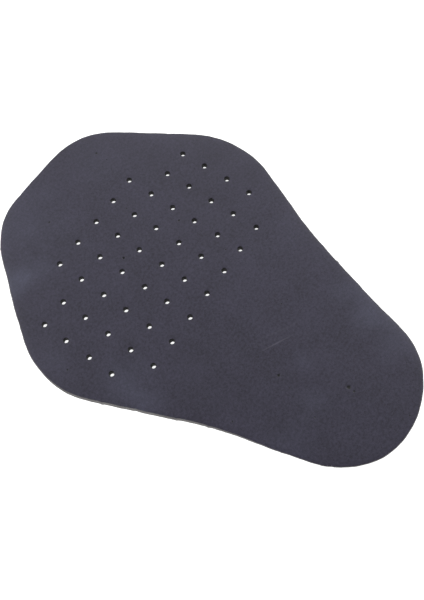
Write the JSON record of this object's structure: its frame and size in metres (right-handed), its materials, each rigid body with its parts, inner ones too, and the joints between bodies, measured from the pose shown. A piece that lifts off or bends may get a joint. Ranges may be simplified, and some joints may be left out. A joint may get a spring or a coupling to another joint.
{
  "type": "back protector",
  "caption": "Flat die-cut foam back protector insert with rounded shoulders, a long taper to a round tail, and rows of small punched vent holes.",
  "frame": {"origin": "centre of the outline's box, on the face that lies against the wearer's back", "axes": "+X across the back, +Y along the length towards the neck, +Z away from the wearer's back"},
  "size_m": [0.2706, 0.4, 0.007],
  "materials": {
    "inner_foam": "matt closed-cell foam",
    "adhesive": "dull hot-melt film",
    "outer_foam": "matt closed-cell foam with a fine skin"
  },
  "bodies": {
    "root": {"inner_foam_ply": "inner_foam", "bonding_film": "adhesive", "outer_foam_ply": "outer_foam"}
  },
  "joints": []
}
